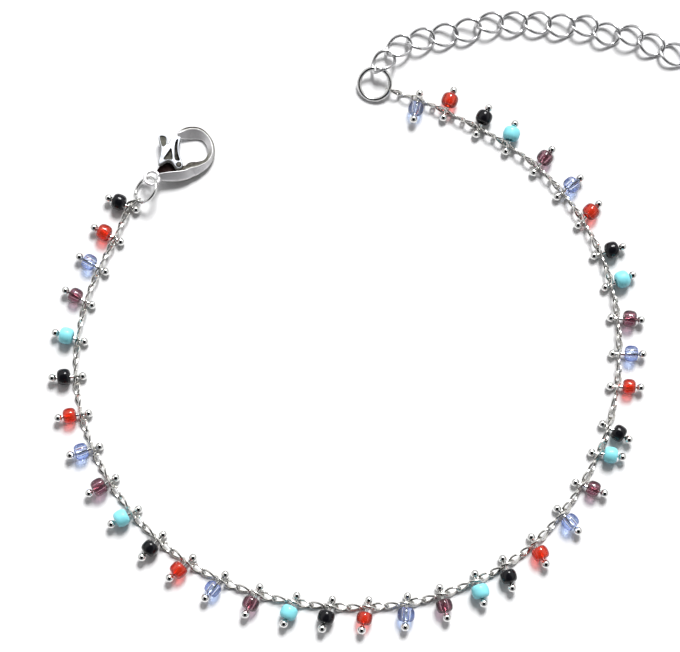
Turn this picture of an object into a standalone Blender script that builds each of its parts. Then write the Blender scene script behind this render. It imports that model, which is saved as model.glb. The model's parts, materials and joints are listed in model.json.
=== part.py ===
"""Beaded anklet with a lobster clasp and an extender, lying open on a flat surface.

Metres, +Z up. The surface is z = 0 and the loop's gap, between clasp and extender, is on the +Y side.
The fine chain is one slim tube on its edge, with an eye wherever something hangs from it.
Each drop is a straight pin with a ball at each end, through an eye of the chain, with a bead on it.
"""
import math

import bmesh
import bpy
from mathutils import Matrix, Vector

MM = 0.001

# Drops
BALL_RADIUS = 0.62 * MM
PIN_RADIUS = 0.25 * MM
PIN_SPAN = 4.4 * MM              # centre of the inner ball to centre of the outer ball
BEAD_CENTRE = 2.7 * MM           # from the centre of the inner ball, along the pin
BEAD_LENGTH = 2.0 * MM
BEAD_RADIUS = 1.25 * MM
BEAD_END_RADIUS = 0.85 * MM
BEAD_SLACK = 0.22 * MM           # how far below the bead's own axis the pin sits in its hole
CHAIN_CROSSING = 1.03 * MM       # where the chain crosses the pin, from the inner ball
BEAD_SIDES = 8
BALL_SIDES = 6
BALL_END = 0.5                   # share of a ball's radius left at its flat end
DROP_PITCH = 5.3 * MM
FIRST_DROP = 2.35 * MM           # from the clasp end of the chain

# Beads in the order in which they repeat: name, colour, roughness.
BEAD_COLOURS = (
    ("black", (0.012, 0.012, 0.014), 0.12),
    ("red", (0.62, 0.01, 0.012), 0.12),
    ("blue", (0.10, 0.20, 0.72), 0.10),
    ("purple", (0.13, 0.02, 0.06), 0.12),
    ("turquoise", (0.06, 0.55, 0.72), 0.28),
)

# How far each drop has slid along the chain from its even place, in millimetres.
SLIDE_MM = (
    0.1, 0.1, -0.2, -0.1, 0.4, 0.6, 1.0, 1.0, 1.1, 1.4, 1.5, 1.5, 1.5, 1.6, 1.7, 1.5, 1.4, 1.7, 1.4,
    1.5, 0.7, 0.7, 1.2, 1.0, 0.9, -0.3, 0.6, 0.2, 0.2, 0.1, -0.3, 0.1, 0.0, 0.0, 0.3, 0.0, 0.3, -0.5,
)
# How far each drop leans on towards the next one, in degrees. The last one lies inside the loop.
LEAN_DEG = (
    10, -5, -5, -15, -10, 0, -5, -5, 0, -10, 0, -15, -15, -10, -15, -15, -15, -15, -5,
    -10, -15, -15, -10, 10, 15, -15, 5, 0, -10, 10, -5, 15, 0, 5, 15, 5, 5, 190,
)

# Fine chain: its route, clasp end first, as x and y in millimetres
ROUTE_MM = (
    (-34.75, 17.85), (-36.55, 15.25), (-38.3, 11.0), (-42.2, 1.4), (-43.3, -9.8), (-40.5, -20.4),
    (-34.7, -29.6),
    (-26.7, -36.7), (-16.9, -41.1), (-6.6, -42.9), (4.1, -42.5), (14.0, -39.3), (22.4, -33.9),
    (29.2, -25.7), (33.5, -16.6), (35.2, -6.3), (34.4, 4.0), (30.6, 13.7), (24.1, 22.1),
    (15.4, 28.3), (6.4, 32.8), (1.2, 34.2),
)
ROUTE_PIECES = 24                # straight pieces between two route points, for reading distances
CHAIN_WIDTH = 0.5 * MM
CHAIN_HEIGHT = 1.6 * MM
CHAIN_STEP = 3.2 * MM            # length of one straight piece of the tube
CHAIN_SIDES = 8
PIN_EYE_RADIUS = 0.43 * MM
RING_EYE_RADIUS = 0.54 * MM
RING_EYE_INSET = 0.85 * MM       # centre of an end eye to the chain's end
EYE_SIDES = 6
EYE_REACH = 1.5 * CHAIN_WIDTH    # half the length of an eye's cutter

# Jump rings
RING_SIDES = 6
RING_STEPS = 18
RING_SEAM_DEG = 7                # the cut where a jump ring was opened
END_RING_RADIUS = 2.35 * MM      # to the middle of the wire
END_RING_WIRE = 0.33 * MM
END_RING_HEADING = math.radians(70)
END_RING_RISE = math.radians(17)
END_RING_CHAIN_DEG = -10         # where the chain holds the ring, from its level diameter
END_RING_SEAM_DEG = -63
CLASP_RING_RADIUS = 2.0 * MM
CLASP_RING_WIRE = 0.27 * MM
CLASP_RING_HEADING = math.radians(63)
CLASP_RING_RISE = math.radians(8)
CLASP_RING_ROLL = math.radians(38)
CLASP_RING_CHAIN_DEG = 210       # where the chain holds the ring, from the clasp's side
CLASP_RING_EYE_DEG = 0           # where the clasp's eye holds the ring
CLASP_RING_SEAM_DEG = 120

# Extender: a curb chain. Its first link hangs in the end ring: x, y and z in millimetres, then heading,
# pitch and roll in degrees.
FIRST_LINK = (1.25, 38.48, 1.29, 57, 7, -24)
# The other links lie on the surface: x and y in millimetres, pitch and roll in degrees
LYING_LINKS = (
    (3.6, 41.08, -1, -11), (6.92, 42.38, 0, -6), (10.47, 43.07, -1, 7), (14.0, 43.8, -1, 14),
    (17.32, 45.0, 1, -10), (20.92, 45.14, 1, 0), (24.52, 45.1, -5, -1), (28.08, 44.54, 0, 13),
    (31.58, 44.64, -3, -8), (34.89, 43.29, 5, 3), (38.33, 43.1, 0, -13), (41.6, 41.67, 4, 1),
    (44.86, 40.14, -6, 0),
)
LINK_LENGTH = 4.6 * MM
LINK_WIDTH = 3.8 * MM
LINK_WIRE = 0.215 * MM
LINK_TWIST = math.radians(33)    # how far each end of a link is turned about its length
LINK_STEPS = 14
LINK_SIDES = 5

# Clasp, in its own frame: origin at the middle of the hook, -X to the eye, +Y to the thumb tab
EYE_X = -7.4 * MM
EYE_HOLE = 0.8 * MM
EYE_BAR = 0.27 * MM
CLASP_HEADING = math.radians(37)
HOOK_TIP_X = 3.35 * MM
HOOK_TIP_STATION = 9             # the station of the spine that rests on the surface
# Body, from the eye round to the hook's nose: x, y, width and thickness in millimetres
SPINE_MM = (
    (-6.55, -0.35, 1.0, 1.1), (-5.4, -1.15, 1.2, 1.6), (-4.1, -1.95, 1.3, 1.8), (-2.9, -2.4, 1.3, 1.8),
    (-1.75, -2.3, 1.9, 1.6), (-0.6, -2.6, 1.5, 1.4), (0.7, -2.75, 1.1, 1.3), (2.05, -1.95, 1.05, 1.2),
    (2.8, -0.6, 0.9, 1.1), (2.95, 0.7, 0.8, 1.05), (2.42, 1.88, 1.1, 1.0), (1.35, 2.68, 1.2, 1.0),
    (0.2, 3.18, 0.85, 1.0), (-0.9, 3.42, 0.34, 0.9),
)
CHEEK_MM = (
    (-6.1, -0.6), (-6.0, 0.1), (-5.4, 0.6), (-4.4, 0.8), (-3.4, 0.55), (-2.5, -0.3),
    (-2.0, -2.0), (-2.9, -2.4), (-4.1, -1.95), (-5.4, -1.15),
)
CHEEK_BOTTOM = -0.8 * MM
CHEEK_TOP = -0.45 * MM
BAR_CHAMFER = 0.28
SPINE_PIECES = 2
EYE_STEPS = 14
POST_SIDES = 10
PIVOT = (-3.1 * MM, -0.75 * MM)
POST_RADIUS = 0.3 * MM
POST_TOP = 0.75 * MM
# Lever outline, from its tip round by the thumb tab and the pivot, in millimetres
LEVER_MM = (
    (-0.1, 2.4), (-0.75, 2.95), (-1.6, 3.3), (-2.3, 2.95), (-2.7, 2.75), (-1.98, 3.7), (-2.15, 4.35),
    (-2.7, 4.6), (-3.2, 3.7), (-3.65, 2.9), (-4.5, 2.0), (-5.2, 1.5), (-5.5, 1.0), (-5.1, 0.8),
    (-4.1, 0.85), (-3.6, 0.3), (-3.73, -0.6), (-3.6, -1.15), (-3.1, -1.37), (-2.6, -1.15),
    (-2.3, -0.5), (-2.1, 0.3), (-1.8, 1.0), (-1.3, 1.7), (-0.7, 2.2),
)
LEVER_WELL_MM = (
    (-1.15, 2.6), (-1.75, 2.75), (-2.75, 2.3), (-4.0, 1.72), (-4.95, 1.2), (-4.95, 0.6), (-3.45, 0.1),
    (-2.78, 1.1), (-1.7, 2.15),
)
LEVER_BOTTOM = -0.3 * MM
LEVER_WELL = 0.05 * MM
LEVER_TOP = 0.7 * MM
LEVER_HOLE = 0.42 * MM

SILVER = (0.72, 0.72, 0.70)
SHARP_ANGLE = math.radians(40)   # edges sharper than this are shown as creases
MERGE_DISTANCE = 0.001 * MM


def clear_scene():
    for item in list(bpy.data.objects):
        bpy.data.objects.remove(item)


def material(name, colour, roughness, metallic=0.0):
    """A Principled material, made once for each name."""
    if name in bpy.data.materials:
        return bpy.data.materials[name]
    made = bpy.data.materials.new(name)
    made.use_nodes = True
    shader = made.node_tree.nodes["Principled BSDF"]
    shader.inputs["Base Color"].default_value = (*colour, 1.0)
    shader.inputs["Roughness"].default_value = roughness
    shader.inputs["Metallic"].default_value = metallic
    return made


def add_object(name, mesh, surface=None):
    """A named object for a mesh, with its own material slot."""
    item = bpy.data.objects.new(name, mesh)
    bpy.context.scene.collection.objects.link(item)
    if surface:
        if not mesh.materials:
            mesh.materials.append(None)
        item.material_slots[0].link = "OBJECT"
        item.material_slots[0].material = surface
    return item


def mesh_from(name, shape):
    """A smooth-shaded mesh from a bmesh, with its normals facing out."""
    bmesh.ops.recalc_face_normals(shape, faces=shape.faces)
    mesh = bpy.data.meshes.new(name)
    shape.to_mesh(mesh)
    shape.free()
    mesh.shade_smooth()
    mesh.set_sharp_from_angle(angle=SHARP_ANGLE)
    return mesh


def evaluated_mesh(item):
    """A new mesh of an object as its modifiers leave it."""
    bpy.context.view_layer.update()
    return bpy.data.meshes.new_from_object(item.evaluated_get(bpy.context.evaluated_depsgraph_get()))


def skin(sections, closed):
    """A bmesh through a row of sections, each a list of points, capped unless it closes on itself."""
    shape = bmesh.new()
    rings = [[shape.verts.new(point) for point in section] for section in sections]
    pairs = list(zip(rings, rings[1:]))
    if closed:
        pairs.append((rings[-1], rings[0]))
    for ring, after in pairs:
        for index, vert in enumerate(ring):
            before = index - 1
            shape.faces.new((ring[before], vert, after[index], after[before]))
    if not closed:
        shape.faces.new(rings[0])
        shape.faces.new(rings[-1])
    return shape


def turned(profile, sides, axis):
    """A solid turned about an axis (a matrix whose X runs along it), from (distance, radius) pairs."""
    sections = []
    for distance, radius in profile:
        sections.append([axis @ Vector((distance, radius * math.cos(turn), radius * math.sin(turn)))
                         for turn in (2 * math.pi * (side + 0.5) / sides for side in range(sides))])
    return skin(sections, closed=False)


def prism(outline, bottom, top):
    """An upright solid over an outline in the XY plane."""
    lower = [Vector((x, y, bottom)) for x, y in outline]
    upper = [Vector((x, y, top)) for x, y in outline]
    return skin([lower, upper], closed=False)


def in_mm(points):
    return [(x * MM, y * MM) for x, y in points]


def cutter(name, shape):
    """A hidden object that a Boolean cuts with."""
    item = add_object(name, mesh_from(name, shape))
    item.hide_render = True
    item.display_type = "WIRE"
    return item


def combine(item, other, operation):
    """Add a Boolean to an object."""
    step = item.modifiers.new(operation.title(), "BOOLEAN")
    step.operation = operation
    step.object = other
    other.hide_render = True
    other.display_type = "WIRE"


def flat_circle(radius, sides, centre=(0.0, 0.0)):
    turns = [2 * math.pi * (side + 0.5) / sides for side in range(sides)]
    return [(centre[0] + radius * math.cos(turn), centre[1] + radius * math.sin(turn)) for turn in turns]


def smooth_route(points, pieces):
    """Dense polyline on a Catmull-Rom curve through points given in millimetres."""
    knots = [Vector(point) * MM for point in points]
    knots = [2 * knots[0] - knots[1]] + knots + [2 * knots[-1] - knots[-2]]
    line = []
    for a, b, c, d in zip(knots, knots[1:], knots[2:], knots[3:]):
        for step in range(pieces):
            t = step / pieces
            line.append(0.5 * (2 * b + (c - a) * t + (2 * a - 5 * b + 4 * c - d) * t**2
                               + (3 * b - a - 3 * c + d) * t**3))
    line.append(knots[-2])
    return line


class Route:
    """A polyline that is read by the distance along it."""

    def __init__(self, line):
        self.line = line
        self.distances = [0.0]
        for start, end in zip(line, line[1:]):
            self.distances.append(self.distances[-1] + (end - start).length)
        self.length = self.distances[-1]

    def at(self, distance):
        """Point and direction at a distance from the start."""
        index = 0
        while index < len(self.line) - 2 and self.distances[index + 1] < distance:
            index += 1
        start, end = self.line[index], self.line[index + 1]
        part = (distance - self.distances[index]) / (end - start).length
        return start.lerp(end, part), (end - start).normalized()


class Hoop:
    """The middle line of a jump ring: a circle with its own two axes."""

    def __init__(self, centre, radius, along, across):
        self.centre = centre
        self.radius = radius
        self.along = along
        self.across = across

    def at(self, degrees):
        turn = math.radians(degrees)
        return self.centre + self.radius * (math.cos(turn) * self.along + math.sin(turn) * self.across)

    def tangent(self, degrees):
        turn = math.radians(degrees)
        return math.cos(turn) * self.across - math.sin(turn) * self.along


def jump_ring(name, hoop, wire, seam_degrees, surface):
    """Round wire bent into a ring, open by a hair at its seam."""
    normal = hoop.along.cross(hoop.across)
    sections = []
    for step in range(RING_STEPS + 1):
        degrees = seam_degrees + RING_SEAM_DEG / 2 + (360 - RING_SEAM_DEG) * step / RING_STEPS
        outward = (hoop.at(degrees) - hoop.centre).normalized()
        turns = [2 * math.pi * side / RING_SIDES for side in range(RING_SIDES)]
        sections.append([hoop.at(degrees) + wire * (math.cos(turn) * outward + math.sin(turn) * normal)
                         for turn in turns])
    return add_object(name, mesh_from(name, skin(sections, closed=False)), surface)


def drop_mesh():
    """One drop at the chain's crossing: the pin runs out along +X and everything rests on z = 0."""
    slope = math.asin((BEAD_RADIUS - BEAD_SLACK - BALL_RADIUS) / (BEAD_CENTRE + BEAD_LENGTH / 2))
    inner = Matrix.Translation((-CHAIN_CROSSING * math.cos(slope), 0, BALL_RADIUS))
    pin_axis = inner @ Matrix.Rotation(-slope, 4, "Y")
    neck = math.sqrt(BALL_RADIUS**2 - PIN_RADIUS**2)
    end = BALL_END * BALL_RADIUS
    reach = math.sqrt(BALL_RADIUS**2 - end**2)
    pin_profile = (
        (-reach, end), (0, BALL_RADIUS), (neck, PIN_RADIUS),
        (PIN_SPAN - neck, PIN_RADIUS), (PIN_SPAN, BALL_RADIUS), (PIN_SPAN + reach, end),
    )
    pin = add_object("pin_pattern", mesh_from("pin_pattern", turned(pin_profile, BALL_SIDES, pin_axis)))

    middle = inner.translation.x + BEAD_CENTRE * math.cos(slope)
    bead_axis = Matrix.Translation((middle, 0, BEAD_RADIUS))
    girdle = BEAD_RADIUS / math.cos(math.pi / BEAD_SIDES)
    bead_profile = (
        (-BEAD_LENGTH / 2, BEAD_END_RADIUS), (-BEAD_LENGTH / 4, girdle),
        (BEAD_LENGTH / 4, girdle), (BEAD_LENGTH / 2, BEAD_END_RADIUS),
    )
    bead = add_object("bead_pattern", mesh_from("bead_pattern", turned(bead_profile, BEAD_SIDES, bead_axis)))
    combine(bead, pin, "UNION")
    mesh = evaluated_mesh(bead)
    mesh.name = "drop"
    bpy.data.objects.remove(bead)
    bpy.data.objects.remove(pin)
    return mesh, pin_axis


def drop_places(route):
    """Each drop's matrix: at its crossing on the chain, with +X out along its pin."""
    for index, (slide, lean) in enumerate(zip(SLIDE_MM, LEAN_DEG)):
        place, onward = route.at(FIRST_DROP + index * DROP_PITCH + slide * MM)
        outward = math.atan2(-onward.x, onward.y)
        heading = outward + math.radians(lean)
        yield Matrix.Translation((place.x, place.y, 0)) @ Matrix.Rotation(heading, 4, "Z")


def add_drops(route):
    mesh, pin_axis = drop_mesh()
    mesh.materials.clear()
    pin_lines = []
    for index, place in enumerate(drop_places(route)):
        name, colour, roughness = BEAD_COLOURS[index % len(BEAD_COLOURS)]
        drop = add_object(f"drop_{index + 1:02d}", mesh, material(f"{name}_bead", colour, roughness))
        drop.matrix_world = place
        pin_lines.append(place @ pin_axis)
    return pin_lines


def eye_cutter(name, axis, radius):
    """A bore along +X of the given matrix, long enough to pass the chain."""
    return cutter(name, turned(((-EYE_REACH, radius), (EYE_REACH, radius)), EYE_SIDES, axis))


def add_chain(route, pin_lines, ring_eyes):
    """The chain: a slim flat-bottomed tube along the route, cut by every eye."""
    profile = bpy.data.curves.new("chain_profile", "CURVE")
    outline = profile.splines.new("POLY")
    outline.points.add(CHAIN_SIDES - 1)
    outline.use_cyclic_u = True
    corner = 1 / math.cos(math.pi / CHAIN_SIDES)
    for point, (x, y) in zip(outline.points, flat_circle(corner, CHAIN_SIDES)):
        point.co = (x * CHAIN_WIDTH / 2, y * CHAIN_HEIGHT / 2, 0, 1)
    guide = bpy.data.objects.new("chain_profile", profile)

    curve = bpy.data.curves.new("chain_route", "CURVE")
    curve.dimensions = "3D"
    curve.twist_mode = "Z_UP"
    curve.bevel_mode = "OBJECT"
    curve.bevel_object = guide
    curve.use_fill_caps = True
    spline = curve.splines.new("POLY")
    pieces = round(route.length / CHAIN_STEP)
    spline.points.add(pieces)
    for index, point in enumerate(spline.points):
        place, _ = route.at(route.length * index / pieces)
        point.co = (place.x, place.y, CHAIN_HEIGHT / 2, 1)
    tube = bpy.data.objects.new("chain_route", curve)
    bpy.context.scene.collection.objects.link(tube)
    mesh = evaluated_mesh(tube)
    bpy.data.objects.remove(tube)
    bpy.data.objects.remove(guide)

    shape = bmesh.new()
    shape.from_mesh(mesh)
    bmesh.ops.remove_doubles(shape, verts=shape.verts, dist=MERGE_DISTANCE)
    chain = add_object("chain", mesh_from("chain", shape), material("chain_silver", SILVER, 0.2, 1.0))

    eyes = bpy.data.collections.new("chain_eyes")
    bpy.context.scene.collection.children.link(eyes)
    crossing = Matrix.Translation((CHAIN_CROSSING, 0, 0))
    for index, line in enumerate(pin_lines):
        eyes.objects.link(eye_cutter(f"pin_eye_{index + 1:02d}", line @ crossing, PIN_EYE_RADIUS))
    for name, axis in ring_eyes:
        eyes.objects.link(eye_cutter(name, axis, RING_EYE_RADIUS))
    bore = chain.modifiers.new("Eyes", "BOOLEAN")
    bore.operation = "DIFFERENCE"
    bore.operand_type = "COLLECTION"
    bore.collection = eyes
    return chain


def along_wire(hoop, degrees):
    """A matrix on a jump ring's wire, with +X along the wire."""
    forward = hoop.tangent(degrees)
    side = Vector((0, 0, 1)).cross(forward).normalized()
    up = forward.cross(side)
    turn = Matrix((forward, side, up)).transposed().to_4x4()
    return Matrix.Translation(hoop.at(degrees)) @ turn


def end_hoop(route):
    """The end ring, leaning up away from the loop, with the chain's last eye on its wire."""
    along = Vector((math.sin(END_RING_HEADING), -math.cos(END_RING_HEADING), 0))
    across = (Vector((-along.y, along.x, 0)) * math.cos(END_RING_RISE)
              + Vector((0, 0, math.sin(END_RING_RISE))))
    height = END_RING_WIRE + END_RING_RADIUS * math.sin(END_RING_RISE)
    held, _ = route.at(route.length - RING_EYE_INSET)
    arm = Hoop(Vector(), END_RING_RADIUS, along, across).at(END_RING_CHAIN_DEG)
    return Hoop(Vector((held.x - arm.x, held.y - arm.y, height)), END_RING_RADIUS, along, across)


def clasp_hoop(route):
    """The clasp's ring, propped up between the chain's first eye and the clasp's eye."""
    level = Vector((math.cos(CLASP_RING_HEADING), math.sin(CLASP_RING_HEADING), 0))
    along = (level * math.cos(CLASP_RING_RISE) + Vector((0, 0, math.sin(CLASP_RING_RISE)))).normalized()
    flat_side = Vector((level.y, -level.x, 0))
    across = (flat_side * math.cos(CLASP_RING_ROLL)
              + flat_side.cross(along).normalized() * math.sin(CLASP_RING_ROLL))
    lift = CLASP_RING_RADIUS * math.hypot(along.z, across.z)
    held, _ = route.at(RING_EYE_INSET)
    arm = Hoop(Vector(), CLASP_RING_RADIUS, along, across).at(CLASP_RING_CHAIN_DEG)
    centre = Vector((held.x - arm.x, held.y - arm.y, CLASP_RING_WIRE + lift))
    return Hoop(centre, CLASP_RING_RADIUS, along, across)


def extender_link_mesh():
    """A curb link along X: an oval of round wire whose two ends are twisted opposite ways."""
    half_length = LINK_LENGTH / 2 - LINK_WIRE
    half_width = LINK_WIDTH / 2 - LINK_WIRE
    centres = []
    for step in range(LINK_STEPS):
        turn = 2 * math.pi * step / LINK_STEPS
        twist = LINK_TWIST * math.cos(turn)
        side = half_width * math.sin(turn)
        centres.append(Vector((half_length * math.cos(turn), side * math.cos(twist), side * math.sin(twist))))
    sections = []
    for index, centre in enumerate(centres):
        forward = (centres[(index + 1) % LINK_STEPS] - centres[index - 1]).normalized()
        outward = (centre - forward * centre.dot(forward)).normalized()
        upward = forward.cross(outward)
        turns = [2 * math.pi * side / LINK_SIDES for side in range(LINK_SIDES)]
        sections.append([centre + LINK_WIRE * (math.cos(turn) * outward + math.sin(turn) * upward)
                         for turn in turns])
    return mesh_from("extender_link", skin(sections, closed=True))


def clasp_frame(eye_point):
    """The clasp's matrix: its eye round the ring's wire, and the tip of its hook on the surface."""
    hook_half = SPINE_MM[HOOK_TIP_STATION][3] * MM / 2
    drop = math.asin((eye_point.z - hook_half) / (HOOK_TIP_X - EYE_X))
    turn = Matrix.Rotation(CLASP_HEADING, 4, "Z") @ Matrix.Rotation(drop, 4, "Y")
    offset = turn @ Vector((EYE_X, 0, 0))
    return Matrix.Translation(eye_point - offset) @ turn


def spine_solid():
    """The clasp's bar, lofted along its spine through chamfered sections."""
    stations = smooth_route(SPINE_MM, SPINE_PIECES)
    sections = []
    for index, (x, y, width, thickness) in enumerate(stations):
        before = stations[max(index - 1, 0)]
        after = stations[min(index + 1, len(stations) - 1)]
        side = Vector((before.y - after.y, after.x - before.x, 0)).normalized()
        chamfer = BAR_CHAMFER * min(width, thickness)
        corners = []
        for across, up in ((1, 1), (-1, 1), (-1, -1), (1, -1)):
            long_cut = (across * (width / 2 - chamfer), up * thickness / 2)
            short_cut = (across * width / 2, up * (thickness / 2 - chamfer))
            corners += [short_cut, long_cut] if across * up > 0 else [long_cut, short_cut]
        sections.append([Vector((x, y, 0)) + across * side + Vector((0, 0, up)) for across, up in corners])
    return skin(sections, closed=False)


def eye_solid():
    """The clasp's eye, a round bar bent into a ring."""
    sections = []
    for x, y in flat_circle(1.0, EYE_STEPS):
        outward = Vector((x, y, 0))
        centre = Vector((EYE_X, 0, 0)) + (EYE_HOLE + EYE_BAR) * outward
        sections.append([centre + EYE_BAR * (u * outward + v * Vector((0, 0, 1)))
                         for u, v in flat_circle(1.0, RING_SIDES)])
    return skin(sections, closed=True)


def add_clasp(frame):
    """The clasp's body and its lever, under an empty that holds the clasp's frame."""
    holder = bpy.data.objects.new("clasp_frame", None)
    bpy.context.scene.collection.objects.link(holder)
    holder.matrix_world = frame
    steel = material("clasp_silver", SILVER, 0.1, 1.0)

    body = add_object("clasp_body", mesh_from("clasp_body", spine_solid()), steel)
    post = prism(flat_circle(POST_RADIUS, POST_SIDES, PIVOT), CHEEK_BOTTOM, POST_TOP)
    cheek = cutter("clasp_cheek", prism(in_mm(CHEEK_MM), CHEEK_BOTTOM, CHEEK_TOP))
    combine(body, cheek, "UNION")
    combine(body, cutter("clasp_eye", eye_solid()), "UNION")
    combine(body, cutter("clasp_post", post), "UNION")

    plate = mesh_from("clasp_lever", prism(in_mm(LEVER_MM), LEVER_BOTTOM, LEVER_TOP))
    lever = add_object("clasp_lever", plate, material("lever_silver", SILVER, 0.1, 1.0))
    well = cutter("lever_well", prism(in_mm(LEVER_WELL_MM), LEVER_WELL, LEVER_TOP + MM))
    hole = flat_circle(LEVER_HOLE, POST_SIDES, PIVOT)
    bore = cutter("lever_bore", prism(hole, LEVER_BOTTOM - MM, LEVER_TOP + MM))
    combine(lever, well, "DIFFERENCE")
    combine(lever, bore, "DIFFERENCE")
    lever.data.transform(Matrix.Translation((-PIVOT[0], -PIVOT[1], 0)))
    lever.location = (*PIVOT, 0)

    eye, pillar = bpy.data.objects["clasp_eye"], bpy.data.objects["clasp_post"]
    for item in (body, cheek, eye, pillar, lever, well, bore):
        item.parent = holder


def leaning(heading, pitch, roll):
    """A turn made of a roll about X, then a pitch about Y, then a heading about Z, in degrees."""
    turns = ((heading, "Z"), (pitch, "Y"), (roll, "X"))
    turned_frame = Matrix.Identity(4)
    for degrees, axis in turns:
        turned_frame = turned_frame @ Matrix.Rotation(math.radians(degrees), 4, axis)
    return turned_frame


def link_places(mesh):
    """Each extender link's matrix: the first hangs in the ring, the rest lie on the surface."""
    x, y, z, *lean = FIRST_LINK
    yield Matrix.Translation(Vector((x, y, z)) * MM) @ leaning(*lean)
    centres = [Vector(FIRST_LINK[:2])] + [Vector(link[:2]) for link in LYING_LINKS]
    onward = centres[2:] + centres[-1:]
    for before, centre, after, (_, _, pitch, roll) in zip(centres, centres[1:], onward, LYING_LINKS):
        heading = math.degrees(math.atan2(after.y - before.y, after.x - before.x))
        turn = leaning(heading, pitch, roll)
        height = -min((turn @ vert.co).z for vert in mesh.vertices)
        yield Matrix.Translation((centre.x * MM, centre.y * MM, height)) @ turn


def add_extender():
    mesh = extender_link_mesh()
    surface = material("extender_silver", SILVER, 0.2, 1.0)
    for index, place in enumerate(link_places(mesh)):
        link = add_object(f"extender_link_{index + 1:02d}", mesh, surface)
        link.matrix_world = place


def main():
    clear_scene()
    route = Route(smooth_route(ROUTE_MM, ROUTE_PIECES))
    silver = material("ring_silver", SILVER, 0.15, 1.0)
    end_ring = end_hoop(route)
    clasp_ring = clasp_hoop(route)
    jump_ring("end_ring", end_ring, END_RING_WIRE, END_RING_SEAM_DEG, silver)
    jump_ring("clasp_ring", clasp_ring, CLASP_RING_WIRE, CLASP_RING_SEAM_DEG, silver)
    pin_lines = add_drops(route)
    ring_eyes = (("end_ring_eye", along_wire(end_ring, END_RING_CHAIN_DEG)),
                 ("clasp_ring_eye", along_wire(clasp_ring, CLASP_RING_CHAIN_DEG)))
    add_chain(route, pin_lines, ring_eyes)
    add_clasp(clasp_frame(clasp_ring.at(CLASP_RING_EYE_DEG)))
    add_extender()


main()
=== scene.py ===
"""Looks for a beaded anklet: wire drops, glass beads, fine links, jump rings, curb links and a clasp.

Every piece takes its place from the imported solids. Lengths are in metres, the floor is z = 0 and +Z is up.
"""

import json
import math

import bmesh
import bpy
import numpy as np
from mathutils import Matrix, Vector


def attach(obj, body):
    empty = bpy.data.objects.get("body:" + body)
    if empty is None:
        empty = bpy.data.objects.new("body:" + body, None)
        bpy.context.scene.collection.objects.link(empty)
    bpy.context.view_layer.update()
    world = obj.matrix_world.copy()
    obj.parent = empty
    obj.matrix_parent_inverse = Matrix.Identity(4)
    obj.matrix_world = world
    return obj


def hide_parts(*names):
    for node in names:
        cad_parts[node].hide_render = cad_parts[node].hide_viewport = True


MM = 0.001

# Drops, as in the solids: a pin between two balls with a bead on it
BALL_RADIUS = 0.62 * MM
PIN_RADIUS = 0.25 * MM
PIN_SPAN = 4.4 * MM
BEAD_CENTRE = 2.7 * MM
BEAD_HALF_LENGTH = 1.0 * MM
BEAD_RADIUS = 1.25 * MM
BEAD_SLACK = 0.22 * MM
CHAIN_CROSSING = 1.03 * MM
BEAD_HOLE = 0.5 * MM
BEAD_ROUNDNESS = 2.5             # 2 is an ellipse, more is squarer
BEAD_SIZES = (0.9, 1.0)          # smallest and largest bead, as shares of the full size
BEAD_LIP = 0.06 * MM             # chamfer where a bead's hole opens
PIN_SIDES = 24
BALL_STEPS = 15
BEAD_SIDES = 40
BEAD_STEPS = 33
GIRDLE_BAND = 0.05 * MM          # how near the top of a drop its bead's widest ring is looked for
DROP_COUNT = 38
DROP_SEED = 7
COLOURS = ("black", "red", "blue", "purple", "turquoise")

# Fine chain: its links are rolled about their length, in degrees
LINE_STEPS = 16                  # points of the chain's line between two drops
HEADING_REACH = 0.3 * MM         # how far before and behind a link its heading is read
LINK_STEPS = 26
LINK_SIDES = 8
LINK_HALF_LENGTH = 1.27 * MM
LINK_HALF_WIDTH = 0.76 * MM
LINK_WIRE = 0.165 * MM
LINK_TWIST = math.radians(33)    # how far each end of a link is turned about its length
LINKS_A_GAP = 3
LINK_SHIFT = 0.4 * MM            # the most that a link sits to one side of its pin
END_LINK_REACH = 0.62 * MM       # from a ring's wire to the middle of the link that holds it
PIN_LINK_ROLL_DEG = 90
FREE_LINK_ROLLS_DEG = (50, 66)   # how the two links between drops stand
FIRST_ROLLS_DEG = (95, 84)
LAST_ROLLS_DEG = (70, 55)

# Jump rings
END_WIRE = 0.33 * MM
CLASP_WIRE = 0.27 * MM
SEAM_HALF_DEG = 2.2
RING_STEPS = 90
RING_SIDES = 20
RIM_BAND = 0.25                  # the outer rim of a ring's solid, as a share of its wire's radius
RIM_ROUNDS = 3                   # times that the circle is fitted again to that rim

# Extender links
CURB_LENGTH = 4.6 * MM
CURB_WIDTH = 3.8 * MM
CURB_WIRE = 0.245 * MM
CURB_TWIST = math.radians(33)
CURB_STEPS = 64
CURB_SIDES = 16

# Clasp, in its own frame and in millimetres: -X to the eye, +Y to the thumb tab
PIVOT = (-3.1, -0.75)
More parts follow.
